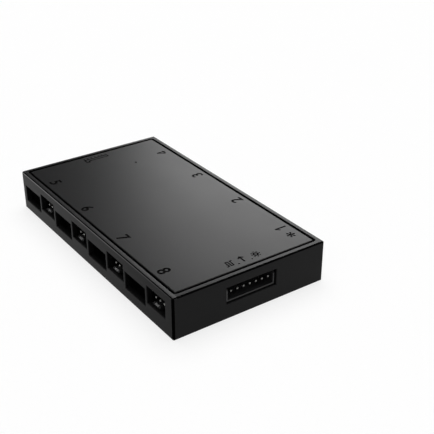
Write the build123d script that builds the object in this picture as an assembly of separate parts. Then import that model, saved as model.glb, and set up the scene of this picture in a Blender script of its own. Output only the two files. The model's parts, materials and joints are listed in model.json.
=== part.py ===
from build123d import *
import math
import os

# Case, in millimetres: X runs across, Y from the signal end to the power end, Z up from the table
case_width = 61.0
case_length = 110.0
case_height = 15.6
wall = 1.9
floor_thickness = 1.8
corner_radius = 0.5
shoulder_height = 0.3
shoulder_angle = 20.0
crown_height = 0.25
crown_angle = 50.0
bottom_edge_bevel = 0.15
rim_inner_bevel = 0.2
window_chamfer = 0.2
cut_margin = 1.0

# Cover, let into the rim with a shadow groove all round
groove_width = 0.75
groove_depth = 1.3
cover_plate = 1.6
cover_edge_bevel = 0.25
cover_corner_radius = 0.5
cover_fit = 0.1
flange_thickness = 1.2
flange_band = 2.4
boss_width = 5.6
pilot_depth = 6.5
light_hole_radius = 0.5
light_hole_x = 10.5
light_hole_from_far_end = 18.7

# Circuit board and what carries it
standoff_height = 2.5
board_thickness = 1.6
board_end_gap = 0.6
board_corner_radius = 1.0
post_width = 5.8
post_gap = 0.2
boss_gap = 1.0
rail_width = 1.4
rail_inset = 0.5

# Case screws, driven from beneath
screw_core_radius = 1.1
screw_pass_radius = 1.45
screw_head_recess = 0.2
screw_reach = 5.0
countersink_radius = 2.6
cross_width = 0.7
cross_span = 2.6
cross_depth = 0.8

# Side sockets: each pair has a light window, then a fan window, and the pairs fill the wall
pairs_per_side = 4
row_start = 2.6
row_end = 4.6
window_bar = 1.2
fan_window_width = 10.85
fan_window_height = 6.45
fan_window_drop = 0.1
light_window_height = 6.4
header_setback = 9.2

# Bent square pins of the side sockets
pin_pitch = 2.54
pin_size = 0.64
pin_tip_bevel = 0.18
pin_tail = 1.4
pin_hole_radius = 0.52
drill_sides = 6

# Fan headers
fan_pin_count = 4
fan_axis_height = 2.0
fan_tip_depth = 2.3
fan_base_depth = 3.2
fan_base_height = 5.6
fan_base_bevel = 0.4
fan_bend_gap = 1.5
tab_width = 4.0
tab_tip_depth = 1.0
tab_thickness = 0.75
tab_rise = 0.1
tab_ridge = 0.25
tab_nose = 0.5

# Light headers: four places, with one left empty after the first pins
light_place_count = 4
light_first_pin_count = 2
light_axis_height = 1.25
light_tip_depth = 3.0
light_base_depth = 2.5
light_base_height = 2.5
light_base_bevel = 0.35
light_bend_gap = 1.3

# Signal header in the near end
signal_pin_count = 7
signal_pitch = 2.5
signal_end_margin = 2.3
signal_height = 5.6
signal_wall = 0.55
signal_mouth_bevel = 1.5
signal_front_depth = 0.85
signal_cavity_depth = 6.4
signal_back_wall = 1.8
signal_axis_height = 3.4
signal_tip_depth = 1.1
signal_bend_gap = 1.2
signal_slot_width = 1.3
signal_slot_inset = 2.9
signal_clearance = 0.3

# Power inlet in the far end
power_contact_count = 15
power_pitch = 1.27
power_width = 24.4
power_height = 5.8
power_window_side = 0.5
power_window_top = 0.5
power_front_depth = 2.3
power_tongue_depth = 6.2
power_base_depth = 2.7
power_guide_width = 1.1
power_tongue_width = 21.6
power_tongue_thickness = 1.2
power_tongue_height = 2.2
power_key_height = 1.3
power_contact_width = 0.8
power_contact_thickness = 0.25
power_contact_inset = 0.6
power_foot = 1.0

# Parts on the board
chip_lead_pitch = 1.27
chip_lead_width = 0.42
chip_lead_thickness = 0.22
chip_lead_reach = 1.05
chip_body_width = 3.9
chip_body_height = 1.45
chip_body_rise = 0.15
chip_bevel = 0.25
logic_leads_per_side = 8
logic_place = (0.0, -8.0)
driver_leads_per_side = 4
driver_x = -4.0
driver_from_far_end = 43.0
can_foot = 6.3
can_foot_bevel = 1.0
can_foot_height = 1.0
can_inset = 0.1
can_height = 6.4
can_bevel = 0.3
can_x = -8.0
can_from_far_end = 24.0
can_spacing = 8.0
regulator_width = 6.6
regulator_depth = 4.9
regulator_height = 2.3
regulator_bevel = 0.35
regulator_tab = 1.2
regulator_leg = 2.4
regulator_leg_width = 0.8
regulator_metal = 0.5
regulator_x = 5.0
regulator_from_far_end = 31.0
resistor_length = 2.0
resistor_width = 1.25
resistor_height = 0.5
resistor_rows = (-9.0, 9.0)
resistor_row_count = 5
resistor_spacing = 5.0
resistor_row_centre = -12.0
lamp_length = 2.0
lamp_width = 1.25
lamp_height = 0.9

# Levels and lines that follow from these
far_end = case_length / 2
board_bottom = floor_thickness + standoff_height
board_top = board_bottom + board_thickness
cover_bottom = case_height - groove_depth - flange_thickness
plate_bottom = case_height - cover_plate
fan_axis = board_top + fan_axis_height
light_axis = board_top + light_axis_height
signal_axis = board_top + signal_axis_height
tail_bottom = board_bottom - pin_tail
board_width = case_width - 2 * header_setback
board_length = case_length - 2 * (wall + board_end_gap)
pair_pitch = (case_length - row_start - row_end + window_bar) / pairs_per_side
row_shift = (row_start - row_end) / 2
light_window_width = pair_pitch - fan_window_width - 2 * window_bar
light_offset = -(fan_window_width + window_bar) / 2
fan_offset = (light_window_width + window_bar) / 2
fan_base_width = fan_pin_count * pin_pitch
light_base_width = light_place_count * pin_pitch
signal_width = (signal_pin_count - 1) * signal_pitch + 2 * signal_end_margin
fan_bend = header_setback + fan_base_depth + fan_bend_gap
light_bend = header_setback + light_base_depth + light_bend_gap
signal_back = signal_front_depth + signal_cavity_depth + signal_back_wall
signal_bend = signal_back + signal_bend_gap
power_base_front = power_front_depth + power_tongue_depth
power_back = power_base_front + power_base_depth
tongue_bottom = board_top + power_tongue_height
tongue_top = tongue_bottom + power_tongue_thickness
screw_x = case_width / 2 - fan_bend - pin_size / 2 - post_gap - post_width / 2
screw_y = far_end - power_back - boss_gap - boss_width / 2
light_hole_y = far_end - light_hole_from_far_end
driver_y = far_end - driver_from_far_end
can_y = far_end - can_from_far_end
regulator_y = far_end - regulator_from_far_end
screw_places = [(x, y) for x in (-screw_x, screw_x) for y in (-screw_y, screw_y)]

# Frames of the four walls: x to the right seen from outside, y inward from the outer face
near_wall = Location((0, -far_end, 0), (0, 0, 0))
far_wall = Location((0, far_end, 0), (0, 0, 180))
left_wall = Location((-case_width / 2, 0, 0), (0, 0, -90))
right_wall = Location((case_width / 2, 0, 0), (0, 0, 90))


def block(x0, x1, y0, y1, z0, z1):
    return Pos((x0 + x1) / 2, (y0 + y1) / 2, (z0 + z1) / 2) * Box(x1 - x0, y1 - y0, z1 - z0)


def rod(x, y, radius, z0, z1):
    return Pos(x, y, (z0 + z1) / 2) * Cylinder(radius, z1 - z0)


def pillar(x, y, width, z0, z1):
    half = width / 2
    return block(x - half, x + half, y - half, y + half, z0, z1)


def sink(x, y, z0, z1):
    # Part of the screws' countersink cone, which narrows by its own height
    low = countersink_radius - z0
    high = countersink_radius - z1
    return Pos(x, y, (z0 + z1) / 2) * Cone(low, high, z1 - z0)


def slab(width, length, radius, z0, z1, taper=0):
    return extrude(Plane.XY.offset(z0) * RectangleRounded(width, length, radius), z1 - z0, taper=taper)


def side_profile(points, width):
    # A profile in the y and z of a wall frame, made solid across x
    face = make_face(Polyline(*[(0, y, z) for y, z in points], close=True))
    return extrude(face, width / 2, dir=(1, 0, 0), both=True)


def pair_centre(index):
    return row_shift + (index - (pairs_per_side - 1) / 2) * pair_pitch


def places(count, pitch):
    return [(i - (count - 1) / 2) * pitch for i in range(count)]


def port_frame(port):
    # Ports 1 to 4 run along the right wall and 5 to 8 along the left, both left to right
    side = right_wall if port <= pairs_per_side else left_wall
    return side * Pos(pair_centre((port - 1) % pairs_per_side), 0, 0)


ports = range(1, 2 * pairs_per_side + 1)
fan_xs = places(fan_pin_count, pin_pitch)
light_xs = places(light_place_count, pin_pitch)
del light_xs[light_first_pin_count]
signal_xs = places(signal_pin_count, signal_pitch)
power_xs = places(power_contact_count, power_pitch)


# Bent pin: bevelled tip outward, tail down through the board
def bent_pin(tip_depth, bend_depth, axis):
    half = pin_size / 2
    bar = block(-half, half, tip_depth, bend_depth + half, axis - half, axis + half)
    bar = chamfer(bar.faces().sort_by(Axis.Y)[0].edges(), pin_tip_bevel)
    pin = bar + block(-half, half, bend_depth - half, bend_depth + half, tail_bottom, axis)
    corner = pin.edges().filter_by(Axis.X).sort_by(Axis.Y)[-2:].sort_by(Axis.Z)[-1]
    return chamfer(corner, half)


def pin_set(xs, tip_depth, bend_depth, axis):
    pin = bent_pin(tip_depth, bend_depth, axis)
    return [Pos(x, 0, 0) * pin for x in xs]


def pin_tunnels(xs, axis, y0, y1):
    half = pin_size / 2
    return [block(x - half, x + half, y0, y1, axis - half, axis + half) for x in xs]


# Fan header: upright base, and a springy tab under the pins with a ridge near its nose
def fan_header():
    back = header_setback + fan_base_depth
    width = fan_base_width / 2
    base = block(-width, width, header_setback, back, board_top, board_top + fan_base_height)
    base = chamfer(base.edges().filter_by(Axis.X).group_by(Axis.Z)[-1], fan_base_bevel)
    low = board_top + tab_rise
    high = low + tab_thickness
    profile = [
        (header_setback, low),
        (tab_tip_depth + tab_nose, low),
        (tab_tip_depth, low + tab_nose * 0.6),
        (tab_tip_depth, high - tab_nose * 0.3),
        (tab_tip_depth + tab_nose, high + tab_ridge),
        (tab_tip_depth + 2 * tab_nose, high + tab_ridge),
        (tab_tip_depth + 3 * tab_nose, high),
        (header_setback, high),
    ]
    tab = Pos(-pin_pitch / 2, 0, 0) * side_profile(profile, tab_width)
    return base + tab - pin_tunnels(fan_xs, fan_axis, header_setback, back)


# Light header: low block with a notch between its places
def light_header():
    back = header_setback + light_base_depth
    half = light_base_width / 2
    top = board_top + light_base_height
    outline = [(half, board_top), (-half, board_top)]
    for x in places(light_place_count, pin_pitch):
        outline.append((x - pin_pitch / 2, top - light_base_bevel))
        outline.append((x - pin_pitch / 2 + light_base_bevel, top))
        outline.append((x + pin_pitch / 2 - light_base_bevel, top))
    outline.append((half, top - light_base_bevel))
    face = make_face(Polyline(*[(x, header_setback, z) for x, z in outline], close=True))
    body = extrude(face, light_base_depth, dir=(0, 1, 0))
    return body - pin_tunnels(light_xs, light_axis, header_setback, back)


# Signal header: shroud open to the front, two keyway slots in its upper wall
def signal_header():
    half = signal_width / 2
    inner = half - signal_wall
    low = board_top
    high = board_top + signal_height
    front = signal_front_depth
    floor_y = front + signal_cavity_depth
    body = block(-half, half, front, signal_back, low, high)
    brow = body.edges().filter_by(Axis.X).group_by(Axis.Z)[-1].sort_by(Axis.Y)[0]
    body = chamfer(brow, signal_mouth_bevel)
    body -= block(-inner, inner, front, floor_y, low + signal_wall, high - signal_wall)
    for side in (-1, 1):
        x = side * (half - signal_slot_inset)
        reach = signal_slot_width / 2
        body -= block(x - reach, x + reach, front, floor_y, high - signal_wall, high)
    return body - pin_tunnels(signal_xs, signal_axis, floor_y, signal_back)


# Power inlet: keyed tongue between two guides, contacts on its upper side
def power_contact():
    front = power_front_depth + power_contact_inset
    top = tongue_top + power_contact_thickness
    leg = power_back + power_contact_thickness
    foot_top = board_top + power_contact_thickness
    profile = [
        (front, tongue_top),
        (power_back, tongue_top),
        (power_back, board_top),
        (leg + power_foot, board_top),
        (leg + power_foot, foot_top),
        (leg, foot_top),
        (leg, top),
        (front, top),
    ]
    return side_profile(profile, power_contact_width)


def power_socket():
    half = power_width / 2
    high = board_top + power_height
    tongue = power_tongue_width / 2
    key = tongue - power_tongue_thickness
    body = block(-half, half, power_base_front, power_back, board_top, high)
    body += block(-tongue, tongue, power_front_depth, power_base_front, tongue_bottom, tongue_top)
    key_top = tongue_top + power_key_height
    body += block(key, tongue, power_front_depth, power_base_front, tongue_top, key_top)
    for side in (-1, 1):
        edge = side * half
        inner = side * (half - power_guide_width)
        x0 = min(edge, inner)
        x1 = max(edge, inner)
        body += block(x0, x1, power_front_depth, power_base_front, board_top, high)
    reach = power_contact_width / 2
    top = tongue_top + power_contact_thickness
    tunnels = [block(x - reach, x + reach, power_base_front, power_back, tongue_top, top) for x in power_xs]
    return body - tunnels


# Windows of one side wall, of the signal end and of the power end
def wall_cut(x0, x1, z0, z1):
    return block(x0, x1, -cut_margin, wall + cut_margin, z0, z1)


def side_windows():
    cuts = []
    for index in range(pairs_per_side):
        light_x = pair_centre(index) + light_offset
        fan_x = pair_centre(index) + fan_offset
        light_half = light_window_width / 2
        fan_half = fan_window_width / 2
        low = light_axis - light_window_height / 2
        high = light_axis + light_window_height / 2
        cuts.append(wall_cut(light_x - light_half, light_x + light_half, low, high))
        sill = board_top - fan_window_drop
        cuts.append(wall_cut(fan_x - fan_half, fan_x + fan_half, sill, sill + fan_window_height))
    return cuts


def signal_window():
    half = signal_width / 2 + signal_clearance
    low = board_top - signal_clearance
    return wall_cut(-half, half, low, board_top + signal_height + signal_clearance)


def power_window():
    half = power_width / 2 + power_window_side
    return wall_cut(-half, half, board_top, board_top + power_height + power_window_top)


# Outer form of the tray: upright walls, then a steep shoulder and a flatter crown up to the rim
def tray_form():
    crown_start = case_height - crown_height
    shoulder_start = crown_start - shoulder_height
    lean = shoulder_height * math.tan(math.radians(shoulder_angle))
    crown_width = case_width - 2 * lean
    crown_length = case_length - 2 * lean
    form = slab(case_width, case_length, corner_radius, 0, shoulder_start)
    form = chamfer(form.faces().sort_by(Axis.Z)[0].edges(), bottom_edge_bevel)
    form += slab(case_width, case_length, corner_radius, shoulder_start, crown_start, shoulder_angle)
    form += slab(crown_width, crown_length, corner_radius - lean, crown_start, case_height, crown_angle)
    return form


# Tray: walls, floor, board posts and rails, windows, screw passages
def base_shell():
    shell = tray_form()
    inner_width = case_width - 2 * wall
    inner_length = case_length - 2 * wall
    inner_radius = cover_corner_radius + groove_width
    shell -= slab(inner_width, inner_length, inner_radius, floor_thickness, case_height + cut_margin)
    rim = shell.faces().filter_by(Axis.Z).sort_by(Axis.Z)[-1]
    shell = chamfer(rim.inner_wires()[0].edges(), rim_inner_bevel)
    for frame in (left_wall, right_wall):
        shell -= [frame * cut for cut in side_windows()]
    shell -= near_wall * signal_window()
    shell -= far_wall * power_window()
    mouths = []
    for axis in (Axis.X, Axis.Y):
        faces = shell.faces().filter_by(axis).sort_by(axis)
        for face in (faces[0], faces[-1]):
            for wire in face.inner_wires():
                mouths += wire.edges()
    shell = chamfer(mouths, window_chamfer)
    for x, y in screw_places:
        shell += pillar(x, y, post_width, floor_thickness, board_bottom)
    rail_x = board_width / 2 - rail_inset - rail_width / 2
    rail_y = board_length / 2 - board_corner_radius
    for side in (-1, 1):
        x = side * rail_x
        low_x = x - rail_width / 2
        shell += block(low_x, low_x + rail_width, -rail_y, rail_y, floor_thickness, board_bottom)
    for x, y in screw_places:
        shell -= sink(x, y, 0, countersink_radius - screw_pass_radius)
        shell -= rod(x, y, screw_pass_radius, 0, board_bottom)
    return shell


# Cover: plate, flange that closes the groove, four bosses down to the board, light hole
def top_cover():
    inset = wall + groove_width
    plate_width = case_width - 2 * inset
    plate_length = case_length - 2 * inset
    plate = slab(plate_width, plate_length, cover_corner_radius, plate_bottom, case_height)
    plate = chamfer(plate.faces().sort_by(Axis.Z)[-1].edges(), cover_edge_bevel)
    flange_width = case_width - 2 * (wall + cover_fit)
    flange_length = case_length - 2 * (wall + cover_fit)
    flange_radius = cover_corner_radius + groove_width - cover_fit
    flange_top = cover_bottom + flange_thickness
    flange = slab(flange_width, flange_length, flange_radius, cover_bottom, flange_top)
    opening_width = flange_width - 2 * flange_band
    opening_length = flange_length - 2 * flange_band
    flange -= slab(opening_width, opening_length, cover_corner_radius, cover_bottom, plate_bottom)
    cover = plate + flange
    for x, y in screw_places:
        cover += pillar(x, y, boss_width, board_top, plate_bottom)
    for x, y in screw_places:
        cover -= rod(x, y, screw_core_radius, board_top, board_top + pilot_depth)
    return cover - rod(light_hole_x, light_hole_y, light_hole_radius, plate_bottom, case_height)


# Board: outline, screw holes and one drilled hole for each pin
def drilled(x, y, radius):
    outline = Pos(x, y) * RegularPolygon(radius, drill_sides, rotation=180 / drill_sides)
    return extrude(Plane.XY.offset(board_bottom) * outline, board_thickness)


def circuit_board():
    board = slab(board_width, board_length, board_corner_radius, board_bottom, board_top)
    holes = [drilled(x, y, screw_pass_radius) for x, y in screw_places]
    for port in ports:
        frame = port_frame(port)
        for x in fan_xs:
            holes.append(frame * drilled(fan_offset + x, fan_bend, pin_hole_radius))
        for x in light_xs:
            holes.append(frame * drilled(light_offset + x, light_bend, pin_hole_radius))
    for x in signal_xs:
        holes.append(near_wall * drilled(x, signal_bend, pin_hole_radius))
    return board - holes


# Chip with leads down both long sides, standing at the origin of its own frame
def chip(leads_per_side):
    length = leads_per_side * chip_lead_pitch
    half = chip_body_width / 2
    low = board_top + chip_body_rise
    body = block(-length / 2, length / 2, -half, half, low, low + chip_body_height)
    body = chamfer(body.edges().filter_by(Axis.X).group_by(Axis.Z)[-1], chip_bevel)
    knee = low + chip_body_height / 2
    end = half + chip_lead_reach
    lead_points = [
        (half, knee),
        (half + chip_lead_thickness, knee),
        (end, board_top + chip_lead_thickness),
        (end, board_top),
        (end - chip_lead_thickness, board_top),
        (half, knee - chip_lead_thickness),
    ]
    lead = side_profile(lead_points, chip_lead_width)
    solids = [body]
    for x in places(leads_per_side, chip_lead_pitch):
        solids.append(Pos(x, 0, 0) * lead)
        solids.append(Pos(x, 0, 0) * Rot(0, 0, 180) * lead)
    return solids


# Aluminium can on a square foot
def capacitor():
    half = can_foot / 2
    foot_top = board_top + can_foot_height
    foot = block(-half, half, -half, half, board_top, foot_top)
    foot = chamfer(foot.edges().filter_by(Axis.Z).sort_by(Axis.X)[-2:], can_foot_bevel)
    radius = half - can_inset
    can = rod(0, 0, radius, foot_top, board_top + can_height)
    can = chamfer(can.edges().group_by(Axis.Z)[-1], can_bevel)
    return foot + can


# Regulator: body with a metal tab behind and two legs in front
def voltage_regulator():
    half = regulator_width / 2
    metal_top = board_top + regulator_metal
    body = block(-half, half, 0, regulator_depth, board_top, board_top + regulator_height)
    body = chamfer(body.edges().group_by(Axis.Z)[-1], regulator_bevel)
    tab_half = half - regulator_leg_width
    tab_end = regulator_depth + regulator_tab
    solids = [body + block(-tab_half, tab_half, regulator_depth, tab_end, board_top, metal_top)]
    for x in (-half + regulator_leg_width, half - regulator_leg_width):
        reach = regulator_leg_width / 2
        solids.append(block(x - reach, x + reach, -regulator_leg, 0, board_top, metal_top))
    return solids


# Screw: flush countersunk head with a cross recess, plain shank
def case_screw(x, y):
    low = screw_head_recess
    screw = sink(x, y, low, countersink_radius - screw_core_radius)
    screw += rod(x, y, screw_core_radius, countersink_radius - screw_core_radius, board_top + screw_reach)
    arm = cross_span / 2
    half = cross_width / 2
    cut = block(x - arm, x + arm, y - half, y + half, low, low + cross_depth)
    cut += block(x - half, x + half, y - arm, y + arm, low, low + cross_depth)
    return screw - cut


def resistor(x, y):
    length = resistor_length / 2
    width = resistor_width / 2
    return block(x - length, x + length, y - width, y + width, board_top, board_top + resistor_height)


# Every piece, by name
pieces = {
    "base_shell": [base_shell()],
    "top_cover": [top_cover()],
    "circuit_board": [circuit_board()],
    "control_header": [near_wall * signal_header()],
    "power_socket": [far_wall * power_socket()],
    "power_contacts": [far_wall * Pos(x, 0, 0) * power_contact() for x in power_xs],
    "logic_chip": [Pos(*logic_place) * s for s in chip(logic_leads_per_side)],
    "driver_chip": [Pos(driver_x, driver_y) * s for s in chip(driver_leads_per_side)],
    "voltage_regulator": [Pos(regulator_x, regulator_y) * s for s in voltage_regulator()],
    "capacitor_1": [Pos(can_x, can_y) * capacitor()],
    "capacitor_2": [Pos(can_x, can_y - can_spacing) * capacitor()],
    "case_screws": [case_screw(x, y) for x, y in screw_places],
}
signal_pins = pin_set(signal_xs, signal_tip_depth, signal_bend, signal_axis)
pieces["control_pins"] = [near_wall * pin for pin in signal_pins]
lamp_x = (light_hole_x - lamp_length / 2, light_hole_x + lamp_length / 2)
lamp_y = (light_hole_y - lamp_width / 2, light_hole_y + lamp_width / 2)
pieces["status_light"] = [block(*lamp_x, *lamp_y, board_top, board_top + lamp_height)]
resistor_ys = [resistor_row_centre + y for y in places(resistor_row_count, resistor_spacing)]
pieces["chip_resistors"] = [resistor(x, y) for x in resistor_rows for y in resistor_ys]

fan_body = fan_header()
fan_set = pin_set(fan_xs, fan_tip_depth, fan_bend, fan_axis)
light_body = light_header()
light_set = pin_set(light_xs, light_tip_depth, light_bend, light_axis)
for port in ports:
    fan_frame = port_frame(port) * Pos(fan_offset, 0, 0)
    light_frame = port_frame(port) * Pos(light_offset, 0, 0)
    pieces[f"fan_header_{port}"] = [fan_frame * fan_body]
    pieces[f"fan_pins_{port}"] = [fan_frame * pin for pin in fan_set]
    pieces[f"light_header_{port}"] = [light_frame * light_body]
    pieces[f"light_pins_{port}"] = [light_frame * pin for pin in light_set]

os.makedirs("parts", exist_ok=True)
for name, shapes in pieces.items():
    solids = [solid for shape in shapes for solid in shape.solids()]
    node = solids[0] if len(solids) == 1 else Compound(children=solids)
    export_step(node, f"parts/{name}.step")
    print(name, len(solids), round(sum(s.volume for s in solids), 1))
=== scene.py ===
# %% [markdown]
# A fan hub for a desktop computer is a flat black box. Fans and light strips plug into windows along its
# two long sides, a signal lead plugs into the near end and a power lead into the far end. The exact
# solids come ready made, so this lesson is about everything that makes them look real: camera, studio,
# finishes and the marks cut into the cover. All lengths are in metres, with small sizes written as
# millimetres times mm.

# %% Load the solids
import json
import math

import bmesh
import bpy
from mathutils import Matrix, Quaternion, Vector


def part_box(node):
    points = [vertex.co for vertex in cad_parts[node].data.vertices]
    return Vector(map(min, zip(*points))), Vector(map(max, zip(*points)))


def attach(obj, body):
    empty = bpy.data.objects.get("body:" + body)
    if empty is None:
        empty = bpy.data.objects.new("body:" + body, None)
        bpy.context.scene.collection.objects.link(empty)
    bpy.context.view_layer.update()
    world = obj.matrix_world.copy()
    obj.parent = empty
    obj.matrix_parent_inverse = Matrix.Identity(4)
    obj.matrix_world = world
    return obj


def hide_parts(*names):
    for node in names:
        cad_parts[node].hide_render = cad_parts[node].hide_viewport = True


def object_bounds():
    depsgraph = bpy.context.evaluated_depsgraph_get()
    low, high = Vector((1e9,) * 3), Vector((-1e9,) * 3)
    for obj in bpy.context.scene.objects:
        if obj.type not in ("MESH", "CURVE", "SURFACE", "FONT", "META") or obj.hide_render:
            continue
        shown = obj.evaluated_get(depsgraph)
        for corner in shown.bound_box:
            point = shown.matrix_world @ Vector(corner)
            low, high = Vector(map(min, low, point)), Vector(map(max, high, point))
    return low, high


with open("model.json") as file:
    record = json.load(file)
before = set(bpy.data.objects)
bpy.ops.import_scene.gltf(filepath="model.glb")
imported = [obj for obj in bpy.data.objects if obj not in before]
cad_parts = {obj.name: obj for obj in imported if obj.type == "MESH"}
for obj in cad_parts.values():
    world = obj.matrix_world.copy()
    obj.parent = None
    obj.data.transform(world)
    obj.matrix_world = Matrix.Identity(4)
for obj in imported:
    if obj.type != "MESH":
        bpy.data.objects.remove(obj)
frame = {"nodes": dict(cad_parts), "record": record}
solids = frame["nodes"]
cad_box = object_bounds()
mm = 0.001
hub_size = cad_box[1] - cad_box[0]
print("solids:", len(solids), "hub in mm:", [round(side / mm, 2) for side in hub_size])

# %% [markdown]
# The photograph looks down on the hub from its near left corner through a fairly long lens. The camera
# could be placed by eye, but its angles and distance were worked out from the corners of the hub, so here
# it is set by those few numbers. It circles the origin, and is then slid sideways and up in its own
# picture plane, which moves the hub in the picture without turning it. Lens and sensor are counted in
# millimetres.

# %% Camera
view_azimuth = math.radians(-35.232)
view_elevation = math.radians(28.569)
view_distance = 322.23 * mm
view_slide = 20.325 * mm
view_lift = 8.714 * mm
sensor_width = 36.0
focal_length = 71.3
nearest_seen = 10.0 * mm

lens = bpy.data.cameras.new("product_lens")
lens.sensor_width = sensor_width
lens.lens = focal_length
lens.clip_start = nearest_seen
camera = bpy.data.objects.new("product_camera", lens)
bpy.context.collection.objects.link(camera)
camera.rotation_euler = (math.pi / 2 - view_elevation, 0.0, view_azimuth)
camera.location = camera.rotation_euler.to_matrix() @ Vector((view_slide, view_lift, view_distance))
bpy.context.scene.camera = camera
bpy.context.scene.view_settings.view_transform = "Standard"
print("camera at", [round(c, 4) for c in camera.location])

# %% [markdown]
# Product pictures are taken on a sheet of paper that curves up behind the object, so that no horizon
# shows. A plain plane would do for one view. A profile turned round the hub like a shallow dish gives
# paper on every side, so the hub can be looked at from anywhere. The cover mirrors what stands behind it,
# so the paper's rim is low at the back right, where the cover should stay dark, and rises towards the
# front left.

# %% Paper sweep
sweep_radius = 3.0
sweep_bend = 0.35
sweep_low = 0.42
sweep_high = 1.6
sweep_turn = math.radians(35.0)
sweep_segments = 96
bend_steps = 8
paper_gap = 0.02 * mm
sheet_weld = 0.01 * mm


def turned_sheet(name, profile, segments):
    """A sheet made by turning a profile of (radius, height) points round the Z axis."""
    form = bmesh.new()
    points = [form.verts.new((radius, 0.0, height)) for radius, height in profile]
    edges = [form.edges.new(pair) for pair in zip(points, points[1:])]
    line = points + edges
    whole_turn = 2 * math.pi
    bmesh.ops.spin(form, geom=line, cent=(0, 0, 0), axis=(0, 0, 1), angle=whole_turn, steps=segments)
    bmesh.ops.remove_doubles(form, verts=form.verts, dist=sheet_weld)
    bmesh.ops.recalc_face_normals(form, faces=form.faces)
    sheet = bpy.data.meshes.new(name)
    form.to_mesh(sheet)
    form.free()
    sheet.shade_smooth()
    piece = bpy.data.objects.new(name, sheet)
    bpy.context.collection.objects.link(piece)
    return piece


bend_points = []
for step in range(bend_steps + 1):
    turn = math.pi / 2 * step / bend_steps
    bend_points.append((sweep_radius + sweep_bend * math.sin(turn), sweep_bend * (1 - math.cos(turn))))
profile = [(0.0, 0.0), (sweep_radius / 2, 0.0)] + bend_points
profile.append((sweep_radius + sweep_bend, sweep_low))
paper = turned_sheet("paper_sweep", profile, sweep_segments)
for corner in paper.data.vertices:
    if corner.co.z > sweep_low - mm:
        turn = math.atan2(corner.co.x, corner.co.y) - sweep_turn
        corner.co.z += (sweep_high - sweep_low) * (1 - math.cos(turn)) / 2
paper.location.z = -paper_gap
print("paper faces:", len(paper.data.polygons))

# %% [markdown]
# Every finish below is a Principled shader with textures that vary its colour and gloss a little, and a
# fine relief for the light to catch. Those textures are always wired in the same way, so a few small
# helpers do it. Each texture is measured in millimetres on the object itself, which keeps its grain at
# the real size.

# %% Finish helpers
noise_low = 0.3
noise_high = 0.7


def new_finish(name):
    """A material, with the node tree's parts that the finish is made from."""
    material = bpy.data.materials.new(name)
    material.use_nodes = True
    tree = material.node_tree
    return material, tree, tree.nodes["Principled BSDF"]


def place(tree):
    """Position on the object, in metres."""
    return tree.nodes.new("ShaderNodeTexCoord").outputs["Object"]


def cloud(tree, size, detail=3.0, stretch=(1, 1, 1)):
    """Soft noise with patches of about this size, from 0 to 1."""
    mapping = tree.nodes.new("ShaderNodeMapping")
    mapping.inputs["Scale"].default_value = [1 / (size * s) for s in stretch]
    noise = tree.nodes.new("ShaderNodeTexNoise")
    noise.inputs["Scale"].default_value = 1.0
    noise.inputs["Detail"].default_value = detail
    tree.links.new(place(tree), mapping.inputs["Vector"])
    tree.links.new(mapping.outputs["Vector"], noise.inputs["Vector"])
    return noise.outputs["Fac"]


def spread(tree, value, low, high):
    """Stretches the middle of a 0 to 1 value over the range from low to high."""
    span = tree.nodes.new("ShaderNodeMapRange")
    span.inputs["From Min"].default_value = noise_low
    span.inputs["From Max"].default_value = noise_high
    span.inputs["To Min"].default_value = low
    span.inputs["To Max"].default_value = high
    tree.links.new(value, span.inputs["Value"])
    return span.outputs["Result"]


def tint(tree, value, first, second):
    """A colour between two, picked by a 0 to 1 value."""
    ramp = tree.nodes.new("ShaderNodeValToRGB")
    ramp.color_ramp.elements[0].color = (*first, 1.0)
    ramp.color_ramp.elements[0].position = noise_low
    ramp.color_ramp.elements[1].color = (*second, 1.0)
    ramp.color_ramp.elements[1].position = noise_high
    tree.links.new(value, ramp.inputs["Fac"])
    return ramp.outputs["Color"]


def relief(tree, shader, height, depth, strength=1.0):
    """Bumps of this depth, in metres, on the shader's surface."""
    bump = tree.nodes.new("ShaderNodeBump")
    bump.inputs["Distance"].default_value = depth
    bump.inputs["Strength"].default_value = strength
    tree.links.new(height, bump.inputs["Height"])
    tree.links.new(bump.outputs["Normal"], shader.inputs["Normal"])


def coat(names, material):
    """Gives CAD solids a finish."""
    for name in names:
        for holder in solids[name].material_slots:
            holder.material = material
    print(material.name, "on", len(names), "solids")


print("noise is used from", noise_low, "to", noise_high)


# %% [markdown]
# The paper is matt and pale. Product pictures are exposed so far up that it comes out white with only a
# breath of shadow. More lamp power would wash out the hub, so for the camera and for reflections a glow
# is added on top of the light that falls on the paper. The glow fills the shadow in, and a trace of it
# stays.

# %% Paper finish
fibre_size = 0.8 * mm
fibre_depth = 0.02 * mm
paper_dark = (0.25, 0.25, 0.25)
paper_pale = (0.28, 0.28, 0.28)
paper_rough = 0.95
paper_glow = 0.745

paper_finish, tree, shader = new_finish("paper_white")
fibres = cloud(tree, fibre_size)
tree.links.new(tint(tree, fibres, paper_dark, paper_pale), shader.inputs["Base Color"])
shader.inputs["Roughness"].default_value = paper_rough
shader.inputs["Specular IOR Level"].default_value = 0.0
shader.inputs["Emission Color"].default_value = (1.0, 1.0, 1.0, 1.0)
relief(tree, shader, fibres, fibre_depth)

seen = tree.nodes.new("ShaderNodeLightPath")
glow = None
for ray in ("Is Camera Ray", "Is Glossy Ray", "Is Transmission Ray"):
    add = tree.nodes.new("ShaderNodeMath")
    add.operation = "MULTIPLY_ADD"
    add.use_clamp = True
    tree.links.new(seen.outputs[ray], add.inputs[0])
    add.inputs[1].default_value = paper_glow
    add.inputs[2].default_value = 0.0
    if glow:
        tree.links.new(glow, add.inputs[2])
    glow = add.outputs["Value"]
tree.links.new(glow, shader.inputs["Emission Strength"])
paper.data.materials.append(paper_finish)
print("paper glow:", paper_glow)

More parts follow.
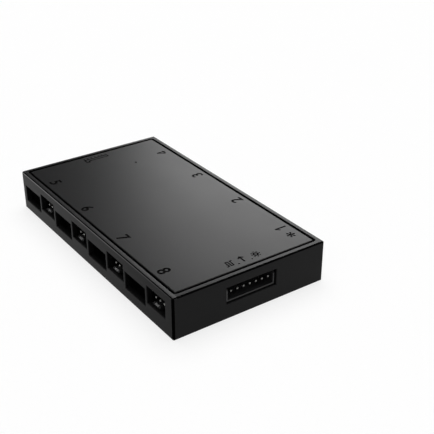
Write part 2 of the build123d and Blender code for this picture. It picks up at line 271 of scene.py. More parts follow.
# %% [markdown]
# Black plastic shows its shape through reflections, so the lamps matter more than the colour. A big soft
# lamp high at the back right lights the paper and leaves the two near walls in shade. A broad lamp from
# the front left keeps that shade open. Both only light surfaces evenly, so they leave no glare on the
# cover.

# %% Key and fill light
key_light = {"azimuth": 37.0, "elevation": 72.0, "width": 60.0, "power": 2.3}
fill_light = {"azimuth": 215.0, "elevation": 50.0, "width": 80.0, "power": 0.75}


def direction(azimuth, elevation):
    """The way to a lamp, from two angles in degrees. Azimuth runs from +Y towards +X."""
    turn = math.radians(azimuth)
    lift = math.radians(elevation)
    return Vector((math.sin(turn) * math.cos(lift), math.cos(turn) * math.cos(lift), math.sin(lift)))


def sky_lamp(name, azimuth, elevation, width, power):
    """A soft far lamp. Width is the angle that the lamp fills."""
    lamp = bpy.data.lights.new(name, "SUN")
    lamp.energy = power
    lamp.angle = math.radians(width)
    holder = bpy.data.objects.new(name, lamp)
    holder.rotation_euler = direction(azimuth, elevation).to_track_quat("Z", "Y").to_euler()
    holder.visible_glossy = False
    bpy.context.collection.objects.link(holder)


sky_lamp("key_lamp", **key_light)
sky_lamp("fill_lamp", **fill_light)
print("key and fill power:", key_light["power"], fill_light["power"])

# %% [markdown]
# The soft gleam across the cover is the mirror image of one tall softbox behind the hub. The cover is
# level, so a ray from the camera leaves it at the same angle upward. A softbox hung along such a mirrored
# ray puts the brightest spot where it is wanted. Here that spot lies a little past the right edge, so the
# gleam fades from right to left, and the satin surface blurs it. The lamp is only seen in reflections.

# %% Gleam light
def reflected_lamp(name, spot, facing, width, height, power):
    """An oval softbox at a spot, with its back turned to the facing direction, seen in reflections alone."""
    softbox = bpy.data.lights.new(name, "AREA")
    softbox.shape = "ELLIPSE"
    softbox.size = width
    softbox.size_y = height
    softbox.energy = power
    holder = bpy.data.objects.new(name, softbox)
    holder.location = spot
    holder.rotation_euler = facing.to_euler()
    holder.visible_camera = False
    holder.visible_diffuse = False
    bpy.context.collection.objects.link(holder)
    print(name, "at", [round(c, 3) for c in holder.location])


gleam_spot = Vector((73.0 * mm, -1.0 * mm, hub_size.z))
gleam_distance = 0.8
gleam_width = 0.384
gleam_height = 0.502
gleam_tilt = math.radians(78.5)
gleam_power = 3.12

seen_from = (camera.location - gleam_spot).normalized()
mirrored = Vector((-seen_from.x, -seen_from.y, seen_from.z))
gleam_facing = mirrored.to_track_quat("Z", "Y") @ Quaternion((0, 0, 1), gleam_tilt)
gleam_place = gleam_spot + mirrored * gleam_distance
reflected_lamp("gleam_softbox", gleam_place, gleam_facing, gleam_width, gleam_height, gleam_power)

# %% [markdown]
# Deep in the windows of the left side the pin tips and the friction tabs catch a glint, which a small
# lamp at the back left makes. The gleam above only shows from the front left, and a black cover with
# nothing to mirror looks like a hole. So four more softboxes stand round the hub for the other sides, and
# a wide one hangs straight above. All of them are only seen in reflections, so they put no second shadow
# on the paper.

# %% Glint, side and top light
glint_turn = -33.0
glint_rise = 33.0
glint_distance = 0.7
glint_size = 0.15
glint_power = 0.24
side_spots = {"right": (125.0, 33.0), "front": (215.0, 33.0), "left": (283.0, 33.0), "back": (85.0, 52.0)}
side_distance = 0.9
side_size = 0.45
side_power = 1.4
straight_up = 90.0
top_distance = 0.9
top_size = 0.8
top_power = 8.0


def hung_lamp(name, azimuth, elevation, distance, size, power):
    """A round softbox that faces the hub from this direction."""
    way = direction(azimuth, elevation)
    reflected_lamp(name, distance * way, way.to_track_quat("Z", "Y"), size, size, power)


hung_lamp("glint_lamp", glint_turn, glint_rise, glint_distance, glint_size, glint_power)
for side, (side_turn, side_rise) in side_spots.items():
    hung_lamp(side + "_softbox", side_turn, side_rise, side_distance, side_size, side_power)
hung_lamp("top_softbox", 0.0, straight_up, top_distance, top_size, top_power)

# %% [markdown]
# Light that comes from nowhere in particular is the world. A dim neutral grey is enough here, because
# anything brighter would show up in the cover as a grey veil.

# %% World
world_level = 0.06
world = bpy.data.worlds.new("studio_dark")
world.use_nodes = True
world.node_tree.nodes["Background"].inputs["Color"].default_value = (1.0, 1.0, 1.0, 1.0)
world.node_tree.nodes["Background"].inputs["Strength"].default_value = world_level
bpy.context.scene.world = world
print("world level:", world_level)

# %% [markdown]
# Some finishes change at a line on the piece: a polished edge, the metal legs of a chip, the foot of a
# can. The mesh needn't be cut for that. A mask that compares the position on the object with a limit can
# switch a colour or a gloss on and off at the right line. The last helper picks one of two colours by
# such a mask.

# %% Position masks
def coordinate(tree, axis):
    """One coordinate of the position on the object, in metres."""
    split = tree.nodes.new("ShaderNodeSeparateXYZ")
    tree.links.new(place(tree), split.inputs["Vector"])
    return split.outputs[axis]


def calculate(tree, operation, first, second=0.0):
    """A sum on two values, each of which is a number or a socket."""
    math_node = tree.nodes.new("ShaderNodeMath")
    math_node.operation = operation
    for socket, value in zip(math_node.inputs, (first, second)):
        if isinstance(value, float):
            socket.default_value = value
        else:
            tree.links.new(value, socket)
    return math_node.outputs["Value"]


def outside(tree, axis, low, high):
    """1 where the coordinate isn't between low and high, else 0."""
    away = calculate(tree, "SUBTRACT", coordinate(tree, axis), (low + high) / 2)
    return calculate(tree, "GREATER_THAN", calculate(tree, "ABSOLUTE", away), (high - low) / 2)


def between(tree, axis, low, high):
    """1 where the coordinate is between low and high, else 0."""
    return calculate(tree, "SUBTRACT", 1.0, outside(tree, axis, low, high))


def choose(tree, mask, first, second):
    """The first colour where the mask is 0, and the second where it is 1."""
    mix = tree.nodes.new("ShaderNodeMix")
    mix.data_type = "RGBA"
    tree.links.new(mask, mix.inputs["Factor"])
    tree.links.new(first, mix.inputs["A"])
    tree.links.new(second, mix.inputs["B"])
    return mix.outputs["Result"]


print("mask helpers ready")


# %% [markdown]
# The case is moulded in black plastic. Its mould was etched, which leaves a fine even grain that turns a
# hard shine into a satin gleam. Two noises make it: grains of a fifth of a millimetre for the relief and
# the colour, and wide soft patches where the gloss changes a little, as on any moulded panel. The polish
# is how strongly the plastic mirrors: a low number gives hardly any reflection, and a higher one a clear
# one. Where it is nothing, the colour is painted darker too, as painted shade. The cover gets that painted
# shade from the foot of its bevelled edge outward, where its flange forms the floor of the groove, so the
# groove reads as a drawn line.

# %% Case plastic
grain_size = 0.2 * mm
grain_depth = 0.002 * mm
patch_size = 12.0 * mm
deep_black = (0.0068, 0.0068, 0.007)
soft_black = (0.0108, 0.0108, 0.0112)
# Painted shade: this near-black colour goes on unpolished edges and on the groove floor.
painted_edge_shade = (0.0022, 0.0022, 0.0023)
satin_gloss = (0.344, 0.362)
dull_polish = 0.105
least_polish = 0.01
cover_edge = 0.7 * mm
edge_shade_spread = 1.2
grain_strength = 0.12


def satin_black(name, polish_of):
    """Black moulded plastic with a fine grain, wide soft patches of gloss and painted shade on edges."""
    material, tree, shader = new_finish(name)
    grain = cloud(tree, grain_size, detail=2.0)
    patches = cloud(tree, patch_size, detail=1.0)
    polish = polish_of(tree)
    plain = tint(tree, grain, deep_black, soft_black)
    # Painted shade: where the polish is nothing, the colour turns near-black.
    dark = tint(tree, grain, painted_edge_shade, [edge_shade_spread * c for c in painted_edge_shade])
    edge = calculate(tree, "LESS_THAN", polish, least_polish)
    tree.links.new(choose(tree, edge, plain, dark), shader.inputs["Base Color"])
    tree.links.new(spread(tree, patches, *satin_gloss), shader.inputs["Roughness"])
    tree.links.new(polish, shader.inputs["Specular IOR Level"])
    relief(tree, shader, grain, grain_depth, grain_strength)
    return material


def cover_polish(tree):
    """Polish of the cover: even on its top and bevel, none on the side and flange below, painted shade
    there.
    """
    low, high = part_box("top_cover")
    sides = between(tree, "X", low.x + cover_edge, high.x - cover_edge)
    ends = between(tree, "Y", low.y + cover_edge, high.y - cover_edge)
    return calculate(tree, "MULTIPLY", calculate(tree, "MULTIPLY", sides, ends), dull_polish)


case_black = satin_black("case_black", cover_polish)
coat(["top_cover"], case_black)

# %% [markdown]
# The tray's edges are what the eye follows on a black box. On the left side the steep shoulder is worn
# smooth, most so at the far end, and the flat rim above it towards the groove, so they draw thin pale
# lines. The narrow slope between them is dull and painted darker, a painted shade that makes it look
# like a drawn line. The top edge on the other sides and the upright corner at the near left get the same
# painted shade. Masks by height and by side pick the polish of each band, and a band with no polish takes
# the painted shade.

# %% Tray edges
end_polish = 0.085
wall_polish = (0.031, 0.062)
shoulder_polish = (0.15, 1.7)
rim_polish = (0.09, 0.34)
shoulder_foot = 15.05 * mm
crown_foot = 15.34 * mm
crown_top = 15.59 * mm
rim_inner = 28.7 * mm
rim_outer = 30.2 * mm
wall_face = 30.45 * mm
corner_x = -29.8 * mm
corner_y = -54.25 * mm


def along_hub(tree, near, far):
    """A value that changes evenly from the near end of the hub to the far end."""
    share = calculate(tree, "DIVIDE", coordinate(tree, "Y"), hub_size.y)
    return calculate(tree, "ADD", calculate(tree, "MULTIPLY", share, far - near), (near + far) / 2)


def across_rim(tree, outer, inner):
    """A value that changes evenly from the outer edge of the left rim to its inner edge."""
    inward = calculate(tree, "ADD", coordinate(tree, "X"), rim_outer)
    share = calculate(tree, "DIVIDE", inward, rim_outer - rim_inner)
    return calculate(tree, "ADD", calculate(tree, "MULTIPLY", share, inner - outer), outer)


def tray_polish(tree):
    """Polish of the tray: dull walls, painted shade on edges, a smoother left rim and shoulder."""
    height = coordinate(tree, "Z")
    wall = calculate(tree, "LESS_THAN", height, shoulder_foot)
    rim = calculate(tree, "GREATER_THAN", height, crown_top)
    shoulder = between(tree, "Z", shoulder_foot, crown_foot)
    level = calculate(tree, "MULTIPLY", calculate(tree, "ADD", wall, rim), end_polish)

    long_wall = calculate(tree, "MULTIPLY", outside(tree, "X", -wall_face, wall_face), wall)
    change = along_hub(tree, wall_polish[0] - end_polish, wall_polish[1] - end_polish)
    level = calculate(tree, "ADD", level, calculate(tree, "MULTIPLY", long_wall, change))

    left = calculate(tree, "LESS_THAN", coordinate(tree, "X"), -rim_inner)
    rim_change = across_rim(tree, rim_polish[0] - end_polish, rim_polish[1] - end_polish)
    paler_rim = calculate(tree, "MULTIPLY", rim, rim_change)
    pale_shoulder = calculate(tree, "MULTIPLY", shoulder, along_hub(tree, *shoulder_polish))
    worn = calculate(tree, "MULTIPLY", calculate(tree, "ADD", paler_rim, pale_shoulder), left)
    level = calculate(tree, "ADD", level, worn)

    # The upright corner at the near left gets no polish, so it takes the painted shade.
    at_left = calculate(tree, "LESS_THAN", coordinate(tree, "X"), corner_x)
    at_near = calculate(tree, "LESS_THAN", coordinate(tree, "Y"), corner_y)
    upright = calculate(tree, "ADD", wall, shoulder)
    corner = calculate(tree, "MULTIPLY", calculate(tree, "MULTIPLY", at_left, at_near), upright)
    return calculate(tree, "MULTIPLY", level, calculate(tree, "SUBTRACT", 1.0, corner))


coat(["base_shell"], satin_black("tray_black", tray_polish))

# %% [markdown]
# Plug headers are moulded in a harder, glass filled plastic. It is a little greyer and shinier than the
# case, and faint streaks run along it where the plastic flowed into the mould. Each fan header has a
# springy tab, and the latch of a plug rubs the middle of it smooth. The tabs stand at even steps along
# the hub, so the distance to the nearest tab is a wave that goes up and down with that step, and a limit
# on it makes the mask.

# %% Header plastic
flow_size = 0.35 * mm
flow_depth = 0.003 * mm
flow_stretch = (1, 1, 5)
flow_strength = 0.1
header_dark = (0.018, 0.018, 0.019)
header_pale = (0.03, 0.03, 0.031)
header_gloss = (0.28, 0.42)
plain_polish = 0.5
fan_polish = 0.1
rubbed_polish = 0.9
rubbed_length = 2.0 * mm
tab_offset = 1.27 * mm
tab_top = 7.1 * mm
ports_per_side = 4
mounts = {mount["name"]: mount["pos_m"] for mount in frame["record"]["mounts"]}
port_step = mounts["fan_socket_2"][1] - mounts["fan_socket_1"][1]


def header_finish(name, polish_of=None):
    """Black header plastic with flow streaks, evenly shiny if no polish is given."""
    material, tree, shader = new_finish(name)
    flow = cloud(tree, flow_size, detail=4.0, stretch=flow_stretch)
    tree.links.new(tint(tree, flow, header_dark, header_pale), shader.inputs["Base Color"])
    tree.links.new(spread(tree, flow, *header_gloss), shader.inputs["Roughness"])
    if polish_of:
        tree.links.new(polish_of(tree), shader.inputs["Specular IOR Level"])
    else:
        shader.inputs["Specular IOR Level"].default_value = plain_polish
    relief(tree, shader, flow, flow_depth, flow_strength)
    return material


def rubbed_tabs(first_tab):
    """Polish of a row of fan headers: high on the middle of each tab."""
    def polish(tree):
        along = calculate(tree, "SUBTRACT", coordinate(tree, "Y"), first_tab)
        away = calculate(tree, "PINGPONG", along, port_step / 2)
        middle = calculate(tree, "LESS_THAN", away, rubbed_length / 2)
        low = calculate(tree, "LESS_THAN", coordinate(tree, "Z"), tab_top)
        rubbed = calculate(tree, "MULTIPLY", middle, low)
        extra = calculate(tree, "MULTIPLY", rubbed, rubbed_polish - fan_polish)
        return calculate(tree, "ADD", extra, fan_polish)
    return polish


plain_headers = [name for name in solids if "header" in name and "fan" not in name]
coat(plain_headers + ["power_socket"], header_finish("header_black"))
for side, first_port, offset in (("right", 1, -tab_offset), ("left", ports_per_side + 1, tab_offset)):
    row = [f"fan_header_{first_port + step}" for step in range(ports_per_side)]
    first_tab = mounts[f"fan_socket_{first_port}"][1] + offset
    coat(row, header_finish(f"fan_header_{side}", rubbed_tabs(first_tab)))

# %% [markdown]
# The pins are brass with a coat of tin that has dulled to grey. Tin is soft, so it is finely marked and
# its gloss is uneven. The seven pins in the near end stand so close to its mouth that they mirror the
# white paper, so their tin is painted a darker grey: painted shade that tones that reflection down.

# %% Tinned pins
tin_pale = (0.3, 0.3, 0.29)
tin_light = (0.42, 0.42, 0.4)
tin_shade_factor = 0.42
tin_gloss = (0.3, 0.42)
mark_size = 0.15 * mm
mark_depth = 0.002 * mm
fine_strength = 0.3


def tin_finish(name, pale, light):
    """Tin plating between two shades of grey."""
    material, tree, shader = new_finish(name)
    marks = cloud(tree, mark_size, detail=4.0)
    tree.links.new(tint(tree, marks, pale, light), shader.inputs["Base Color"])
    tree.links.new(spread(tree, marks, *tin_gloss), shader.inputs["Roughness"])
    shader.inputs["Metallic"].default_value = 1.0
    relief(tree, shader, marks, mark_depth, fine_strength)
    return material


side_contacts = [name for name in solids if "pins" in name and name != "control_pins"]
coat(side_contacts + ["power_contacts"], tin_finish("tin_plate", tin_pale, tin_light))
# Painted shade: a darker copy of the tin for the pins at the near end.
shaded_tin = [[tin_shade_factor * c for c in shade] for shade in (tin_pale, tin_light)]
coat(["control_pins"], tin_finish("tin_faded", *shaded_tin))

# %% [markdown]
# Parts on the board are often two materials in one piece: a chip is a dull body with tinned legs. A mask
# mixes the two colours, and the same mask turns the metal and its gloss on.

# %% Two material finish
speckle_size = 0.12 * mm
speckle_depth = 0.004 * mm
body_spread = 1.5
leg_rough = 0.25
rough_spread = 0.1


def two_material_finish(name, mask_of, body, body_rough):
    """Dull body, with tinned metal wherever the mask is 1."""
    material, tree, shader = new_finish(name)
    speckle = cloud(tree, speckle_size)
    mask = mask_of(tree)
    dull = tint(tree, speckle, body, [body_spread * c for c in body])
    tinned = tint(tree, speckle, tin_pale, tin_light)
    tree.links.new(choose(tree, mask, dull, tinned), shader.inputs["Base Color"])
    tree.links.new(mask, shader.inputs["Metallic"])
    smoother = calculate(tree, "MULTIPLY", mask, leg_rough - body_rough)
    level = calculate(tree, "ADD", smoother, body_rough)
    uneven = calculate(tree, "MULTIPLY", speckle, rough_spread)
    tree.links.new(calculate(tree, "ADD", level, uneven), shader.inputs["Roughness"])
    relief(tree, shader, speckle, speckle_depth, fine_strength)
    return material


print("finish for bodies with metal ends ready")


# %% [markdown]
# Chips have a matt black body and gull wing legs down both sides. The legs start where the body ends. The
# regulator has legs on one side and a metal tab on the other, and each resistor is a dark block with two
# caps.

# %% Chips, regulator and resistors
leg_reach = 1.05 * mm
regulator_leg = 2.4 * mm
regulator_tab = 1.2 * mm
resistor_cap = 0.4 * mm
resistor_length = 2.0 * mm
epoxy = (0.012, 0.012, 0.013)
ceramic = (0.015, 0.015, 0.018)
chip_rough = 0.5
regulator_rough = 0.45
resistor_rough = 0.35


def beyond_body(name, axis, before, after):
    """A mask of what sticks out of a part's body along an axis, by these lengths."""
    low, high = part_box(name)
    index = "XYZ".index(axis)
    start = low[index] + before
    end = high[index] - after
    return lambda tree: outside(tree, axis, start, end)


for chip_name in ("logic_chip", "driver_chip"):
    legs = beyond_body(chip_name, "Y", leg_reach, leg_reach)
    coat([chip_name], two_material_finish(chip_name + "_finish", legs, epoxy, chip_rough))
metal_ends = beyond_body("voltage_regulator", "Y", regulator_leg, regulator_tab)
coat(["voltage_regulator"], two_material_finish("regulator_finish", metal_ends, epoxy, regulator_rough))

row_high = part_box("chip_resistors")[1]


def resistor_caps(tree):
    """Both rows lie at the same distance from the middle line, so the mask works on that distance."""
    across = calculate(tree, "ABSOLUTE", coordinate(tree, "X"))
    away = calculate(tree, "SUBTRACT", across, row_high.x - resistor_length / 2)
    body_half = resistor_length / 2 - resistor_cap
    return calculate(tree, "GREATER_THAN", calculate(tree, "ABSOLUTE", away), body_half)


coat(["chip_resistors"], two_material_finish("resistor_finish", resistor_caps, ceramic, resistor_rough))

# %% [markdown]
# A surface mount capacitor is a drawn aluminium can, crimped onto a black foot. A dark segment printed on
# its top shows the negative side. Drawing leaves fine upright lines on the can, made by a noise stretched
# in Z.

# %% Capacitor cans
foot_height = 1.0 * mm
segment_reach = 1.3 * mm
print_band = 0.35 * mm
draw_size = 0.08 * mm
draw_stretch = (1, 1, 40)
draw_depth = 0.004 * mm
draw_strength = 0.4
can_gloss = (0.28, 0.42)
silver_dark = (0.66, 0.66, 0.67)
silver_pale = (0.8, 0.8, 0.81)
ink_dark = (0.01, 0.01, 0.01)
ink_pale = (0.016, 0.016, 0.017)
can_low, can_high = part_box("capacitor_1")
can_alu, tree, shader = new_finish("can_aluminium")
drawn = cloud(tree, draw_size, stretch=draw_stretch)
in_foot = calculate(tree, "LESS_THAN", coordinate(tree, "Z"), can_low.z + foot_height)
on_top = calculate(tree, "GREATER_THAN", coordinate(tree, "Z"), can_high.z - print_band)
on_side = calculate(tree, "LESS_THAN", coordinate(tree, "X"), (can_low.x + can_high.x) / 2 - segment_reach)
black = calculate(tree, "MAXIMUM", in_foot, calculate(tree, "MULTIPLY", on_top, on_side))
silver = tint(tree, drawn, silver_dark, silver_pale)
ink = tint(tree, drawn, ink_dark, ink_pale)
tree.links.new(choose(tree, black, silver, ink), shader.inputs["Base Color"])
tree.links.new(calculate(tree, "SUBTRACT", 1.0, black), shader.inputs["Metallic"])
tree.links.new(spread(tree, drawn, *can_gloss), shader.inputs["Roughness"])
relief(tree, shader, drawn, draw_depth, draw_strength)
coat(["capacitor_1", "capacitor_2"], can_alu)

# %% [markdown]
# The circuit board is covered with black solder mask. The copper tracks under it stand up a little and
# look paler. Real tracks run in bundles, some along the board and some across. Two sets of stripes give
# that, and a coarse noise picks which of them shows in each area.

# %% Circuit board
track_pitch = 0.9 * mm
track_limit = 0.3
track_rise = 0.03 * mm
area_size = 9.0 * mm
area_limit = 0.5
bare_size = 6.0 * mm
bare_limit = 0.47
weave_size = 0.5 * mm
board_gloss = (0.28, 0.36)
between_tracks = [(0.006, 0.008, 0.0075), (0.009, 0.011, 0.0105)]
over_tracks = [(0.014, 0.018, 0.016), (0.018, 0.022, 0.02)]


def stripes(tree, axis):
    """Parallel tracks: 1 on a track and 0 between tracks."""
    bands = calculate(tree, "PINGPONG", coordinate(tree, axis), track_pitch / 2)
    return calculate(tree, "GREATER_THAN", bands, track_pitch * track_limit)


board_mask, tree, shader = new_finish("board_black")
area = calculate(tree, "GREATER_THAN", cloud(tree, area_size, detail=0.0), area_limit)
bare = calculate(tree, "GREATER_THAN", cloud(tree, bare_size, detail=0.0), bare_limit)
along = calculate(tree, "MULTIPLY", area, stripes(tree, "X"))
across = calculate(tree, "MULTIPLY", calculate(tree, "SUBTRACT", 1.0, area), stripes(tree, "Y"))
tracks = calculate(tree, "MULTIPLY", calculate(tree, "ADD", along, across), bare)
weave = cloud(tree, weave_size)
dark_mask = tint(tree, weave, *between_tracks)
pale_mask = tint(tree, weave, *over_tracks)
tree.links.new(choose(tree, tracks, dark_mask, pale_mask), shader.inputs["Base Color"])
tree.links.new(spread(tree, weave, *board_gloss), shader.inputs["Roughness"])
relief(tree, shader, tracks, track_rise)
coat(["circuit_board"], board_mask)

# %% [markdown]
# The screws are steel with a black oxide coat, which rubs through to bare metal in small spots. The lamp
# under the pinhole is a clear resin block over a yellow phosphor.

# %% Screws and lamp
rub_size = 0.4 * mm
oxide = (0.02, 0.02, 0.021)
bare_steel = (0.09, 0.09, 0.092)
screw_gloss = (0.5, 0.32)
phosphor_size = 0.3 * mm
phosphor_pale = (0.8, 0.78, 0.6)
phosphor_deep = (0.85, 0.82, 0.5)
resin_gloss = (0.12, 0.2)
resin_coat = 0.5
fine_depth = 0.003 * mm

screw_black, tree, shader = new_finish("screw_black")
rubbed = cloud(tree, rub_size, detail=5.0)
tree.links.new(tint(tree, rubbed, oxide, bare_steel), shader.inputs["Base Color"])
tree.links.new(spread(tree, rubbed, *screw_gloss), shader.inputs["Roughness"])
shader.inputs["Metallic"].default_value = 1.0
relief(tree, shader, rubbed, fine_depth, fine_strength)
coat(["case_screws"], screw_black)

lamp_resin, tree, shader = new_finish("lamp_resin")
phosphor = cloud(tree, phosphor_size)
tree.links.new(tint(tree, phosphor, phosphor_pale, phosphor_deep), shader.inputs["Base Color"])
tree.links.new(spread(tree, phosphor, *resin_gloss), shader.inputs["Roughness"])
shader.inputs["Coat Weight"].default_value = resin_coat
relief(tree, shader, phosphor, fine_depth, fine_strength)
coat(["status_light"], lamp_resin)

# %% [markdown]
# The numbers beside the sockets are cut into the cover. A painted decal would be quicker, but seen from
# low down a cut stroke shows its far wall and looks deep and crisp. So a copy of the cover is carved with
# a Boolean: solid numerals stand half in and half out of the top face, and what they fill is taken away.
# The copy is first welded, because a Boolean needs a closed skin.

# %% Carving stock
cut_depth = 0.3 * mm
cover_weld = 0.001 * mm
top_level = hub_size.z


def welded_copy(name, source):
    """A new closed mesh with the source's faces, without its stored normals."""
    form = bmesh.new()
    form.from_mesh(source)
    bmesh.ops.remove_doubles(form, verts=form.verts, dist=cover_weld)
    form.verts.index_update()
    mesh = bpy.data.meshes.new(name)
    corners = [[v.index for v in face.verts] for face in form.faces]
    mesh.from_pydata([v.co for v in form.verts], [], corners)
    form.free()
    return mesh


cover = bpy.data.objects.new("engraved_cover", welded_copy("engraved_cover", solids["top_cover"].data))
bpy.context.collection.objects.link(cover)
cover.data.materials.append(case_black)
print("cover faces before carving:", len(cover.data.polygons))

# %% [markdown]
# The bottom of each stroke is rougher than the polished face round it, and painted much darker as
# painted shade in the cut. The cutters carry that finish, and the Boolean hands it on to the faces that
# they leave behind.

# %% Stroke finish
tooth_size = 0.1 * mm
tooth_depth = 0.01 * mm
tooth_strength = 0.5
# Painted shade: the strokes are coloured far darker than the cover round them.
stroke_deep = (0.0008, 0.0008, 0.0008)
stroke_pale = (0.0016, 0.0016, 0.0016)
stroke_gloss = (0.7, 0.9)
stroke_polish = 0.03

stroke_dark, tree, shader = new_finish("stroke_dark")
tooth = cloud(tree, tooth_size)
tree.links.new(tint(tree, tooth, stroke_deep, stroke_pale), shader.inputs["Base Color"])
tree.links.new(spread(tree, tooth, *stroke_gloss), shader.inputs["Roughness"])
shader.inputs["Specular IOR Level"].default_value = stroke_polish
relief(tree, shader, tooth, tooth_depth, tooth_strength)
print("stroke finish ready")

# %% [markdown]
# Blender's own font gives plain numerals. Each one becomes a mesh, is centred on its own box and set down
# at its place and angle. The font draws its one as a bare bar, so that numeral is an outline of seven
# points. The hole in its four is so narrow that thick strokes close it, so that one is drawn with lines
# further below.

# %% Numeral cutters
numeral_height = 4.6 * mm
font_cap_height = 0.69
bold = 0.12 * mm
stroke_width = 0.66 * mm
flag_reach = 1.25 * mm
flag_drop = 1.1 * mm
flag_root = 1.6 * stroke_width
cutter_weld = 0.0005 * mm
font_steps = 8
cutters = []


def add_cutter(form, spot, turn=0.0, centred=True):
    """Centres a solid on its own box, turns it, sets it into the cover's top and keeps it as a cutter."""
    if centred:
        xs = [v.co.x for v in form.verts]
        ys = [v.co.y for v in form.verts]
        middle = Vector(((min(xs) + max(xs)) / 2, (min(ys) + max(ys)) / 2, 0.0))
        bmesh.ops.translate(form, verts=form.verts, vec=-middle)
    bmesh.ops.rotate(form, verts=form.verts, matrix=Matrix.Rotation(turn, 3, "Z"))
    bmesh.ops.translate(form, verts=form.verts, vec=Vector((spot[0], spot[1], top_level)))
    bmesh.ops.recalc_face_normals(form, faces=form.faces)
    cutters.append(form)


def curve_solid(curve):
    """Turns a text or a curve into a solid and removes it."""
    holder = bpy.data.objects.new("cutter_curve", curve)
    mesh = bpy.data.meshes.new_from_object(holder)
    form = bmesh.new()
    form.from_mesh(mesh)
    bmesh.ops.remove_doubles(form, verts=form.verts, dist=cutter_weld)
    bpy.data.objects.remove(holder)
    bpy.data.curves.remove(curve)
    bpy.data.meshes.remove(mesh)
    return form


def text_solid(text, height):
    """A raised text of this cap height, as a closed solid."""
    curve = bpy.data.curves.new("cutter_text", "FONT")
    curve.body = text
    curve.size = (height - 2 * bold) / font_cap_height
    curve.offset = bold
    curve.extrude = cut_depth
    curve.resolution_u = font_steps
    return curve_solid(curve)


def plate_solid(outline):
    """A flat outline made as thick as the text."""
    form = bmesh.new()
    corners = [form.verts.new((x, y, -cut_depth)) for x, y in outline]
    face = form.faces.new(corners)
    raised = bmesh.ops.extrude_face_region(form, geom=[face])
    tops = [item for item in raised["geom"] if isinstance(item, bmesh.types.BMVert)]
    bmesh.ops.translate(form, verts=tops, vec=(0, 0, 2 * cut_depth))
    return form


def figure_one(height):
    """A one with a small flag at its top."""
    half = stroke_width / 2
    shoulder = height - flag_drop
    return plate_solid([
        (half, 0.0),
        (half, height),
        (-half, height),
        (-flag_reach, shoulder),
        (-flag_reach, shoulder - stroke_width),
        (-half, height - flag_root),
        (-half, 0.0),
    ])


print("numeral height in mm:", round(numeral_height / mm, 2))


# %% [markdown]
# The four and the small picture signs at the two ends are drawn as lines, the way an engraver would cut
# them with a round tool: each line is a curve with a round section, closed at its ends.

# %% Line cutters
line_width = 0.64 * mm
four_width = 2.6 * mm
four_stem = 1.85 * mm
four_bar = 0.95 * mm
round_steps = 2


def line_solid(points, closed=False):
    """A round bar along straight lines."""
    curve = bpy.data.curves.new("cutter_line", "CURVE")
    curve.dimensions = "3D"
    curve.bevel_depth = line_width / 2
    curve.bevel_resolution = round_steps
    curve.use_fill_caps = True
    spline = curve.splines.new("POLY")
    spline.points.add(len(points) - 1)
    spline.use_cyclic_u = closed
    for knot, (x, y) in zip(spline.points, points):
        knot.co = (x, y, 0.0, 1.0)
    return curve_solid(curve)


def circle(radius, count):
    """Points round a circle."""
    turns = [2 * math.pi * i / count for i in range(count)]
    return [(radius * math.cos(turn), radius * math.sin(turn)) for turn in turns]


def add_sign(spot, lines, rings=(), turn=0.0):
    """Cuts open lines and closed rings, all drawn round the sign's own middle, at a spot on the cover."""
    for points in lines:
        add_cutter(line_solid(points), spot, turn, centred=False)
    for points in rings:
        add_cutter(line_solid(points, closed=True), spot, turn, centred=False)


def figure_four(height):
    """The three lines of a four, round its own middle: bar, slope and stem."""
    foot = (line_width - height) / 2
    corner = Vector((-four_width / 2, foot + four_bar))
    top = Vector((four_stem - four_width / 2, -foot))
    return [(corner, (four_width / 2, corner.y)), (corner, top), (top, (top.x, foot))]


print("line width in mm:", line_width / mm)

# %% [markdown]
# The numerals stand in two rows, one along each long side, and each row is read from its own side. Their
# places come from the sockets themselves: each numeral lies level with the middle of a pair of windows on
# the right wall, and the left row lies straight across from it.

# %% Numeral places
numeral_inset = 6.5 * mm
numeral_shift = -0.3 * mm
star_offset = 5.3 * mm
star_size = 5.3 * mm
numeral_x = hub_size.x / 2 - numeral_inset


def row_y(port):
    """Level of a numeral, from the pair of sockets on the right wall that is as far along."""
    return (mounts[f"fan_socket_{port}"][1] + mounts[f"light_socket_{port}"][1]) / 2 + numeral_shift


for port in range(1, ports_per_side + 1):
    spot = (numeral_x, row_y(port))
    if port == 1:
        add_cutter(figure_one(numeral_height), spot, math.pi / 2)
    elif port == 4:
        add_sign(spot, figure_four(numeral_height), turn=math.pi / 2)
    else:
        add_cutter(text_solid(str(port), numeral_height), spot, math.pi / 2)
    across_port = 2 * ports_per_side + 1 - port
    add_cutter(text_solid(str(across_port), numeral_height), (-numeral_x, row_y(port)), -math.pi / 2)
add_cutter(text_solid("*", star_size), (numeral_x, row_y(1) - star_offset), math.pi / 2)
print("numeral cutters:", len(cutters))

# %% [markdown]
# Over the signal inlet stand a square wave for the fan speed, an arrow that points into the hub, and a
# lamp with rays, with a dot after the first two.

# %% Signal signs
sign_half = 1.7 * mm
sign_inset = 6.6 * mm
sign_y = cad_box[0].y + sign_inset
wave_x = -4.4 * mm
arrow_x = 0.7 * mm
bulb_x = 6.3 * mm
dot_places = (-1.75 * mm, 3.55 * mm)
wave_step = 0.9 * mm
wave_rise = 1.3 * mm
bulb_radius = 0.75 * mm
bulb_points = 20
ray_start = 1.3 * mm
ray_count = 8
dot_points = 12
barb = 1.0 * mm

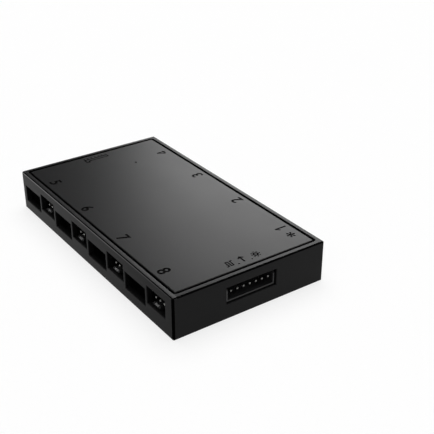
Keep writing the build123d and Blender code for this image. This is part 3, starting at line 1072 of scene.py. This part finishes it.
wave = [(-2 * wave_step, -wave_rise), (-wave_step, -wave_rise), (-wave_step, wave_rise), (0.0, wave_rise)]
wave += [(0.0, -wave_rise), (wave_step, -wave_rise), (wave_step, wave_rise), (2 * wave_step, wave_rise)]
shaft = [(0.0, -sign_half), (0.0, sign_half)]
head = [(-barb, sign_half - barb), (0.0, sign_half), (barb, sign_half - barb)]
rays = [list(pair) for pair in zip(circle(ray_start, ray_count), circle(sign_half, ray_count))]
add_sign((wave_x, sign_y), [wave])
add_sign((arrow_x, sign_y), [shaft, head])
add_sign((bulb_x, sign_y), rays, [circle(bulb_radius, bulb_points)])
for dot_x in dot_places:
    dot_solid = plate_solid(circle(line_width / 2, dot_points))
    add_cutter(dot_solid, (dot_x, sign_y - sign_half))
print("signal signs at y in mm:", round(sign_y / mm, 2))

# %% [markdown]
# At the far end is the outline of the power inlet's keyed tongue, with ticks for its contacts. It is
# drawn to be read from that end, so it is turned round.

# %% Power sign
tongue_half = 5.0 * mm
tongue_drop = 0.65 * mm
key_rise = 1.75 * mm
key_side = 1.2 * mm
tick_top = -1.25 * mm
tick_end = -1.9 * mm
tick_pitch = 1.6 * mm
tick_count = 7
power_x = -0.6 * mm
power_inset = 6.2 * mm

power_spot = (power_x, cad_box[1].y - power_inset)
key_start = tongue_half - key_side
tongue = [(-tongue_half, -tongue_drop), (tongue_half, -tongue_drop), (tongue_half, key_rise)]
tongue += [(key_start, key_rise), (key_start, tongue_drop), (-tongue_half, tongue_drop)]
add_cutter(line_solid([(-x, -y) for x, y in tongue], closed=True), power_spot, centred=False)
for i in range(tick_count):
    x = (i - (tick_count - 1) / 2) * tick_pitch
    add_cutter(line_solid([(x, -tick_top), (x, -tick_end)]), power_spot, centred=False)
print("cutters in all:", len(cutters))

# %% [markdown]
# All cutters are joined into one mesh and taken from the cover in one go. Some lines of a sign cross each
# other, which the exact solver can handle when it is told to look for that. The walls of the strokes are
# then shaded smooth and the level faces flat, because a Boolean leaves long thin faces on the top.

# %% Carve
sharp_angle = math.radians(25)
level_limit = 0.99

stock = bpy.data.meshes.new("cutters")
together = bmesh.new()
for form in cutters:
    part = bpy.data.meshes.new("cutter_part")
    form.to_mesh(part)
    form.free()
    together.from_mesh(part)
    bpy.data.meshes.remove(part)
together.to_mesh(stock)
together.free()
stock.materials.append(stroke_dark)
cutter = bpy.data.objects.new("cutters", stock)
bpy.context.collection.objects.link(cutter)
carve = cover.modifiers.new("carve", "BOOLEAN")
carve.operation = "DIFFERENCE"
carve.solver = "EXACT"
carve.use_self = True
carve.material_mode = "TRANSFER"
carve.object = cutter
carved = bpy.data.meshes.new_from_object(cover.evaluated_get(bpy.context.evaluated_depsgraph_get()))
cover.modifiers.clear()
cover.data = carved
bpy.data.objects.remove(cutter)
carved.shade_smooth()
carved.set_sharp_from_angle(angle=sharp_angle)
for face in carved.polygons:
    face.use_smooth = abs(face.normal.z) < level_limit
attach(cover, "root")
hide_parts("top_cover")
print("cover faces after carving:", len(carved.polygons), "materials:", [m.name for m in carved.materials])
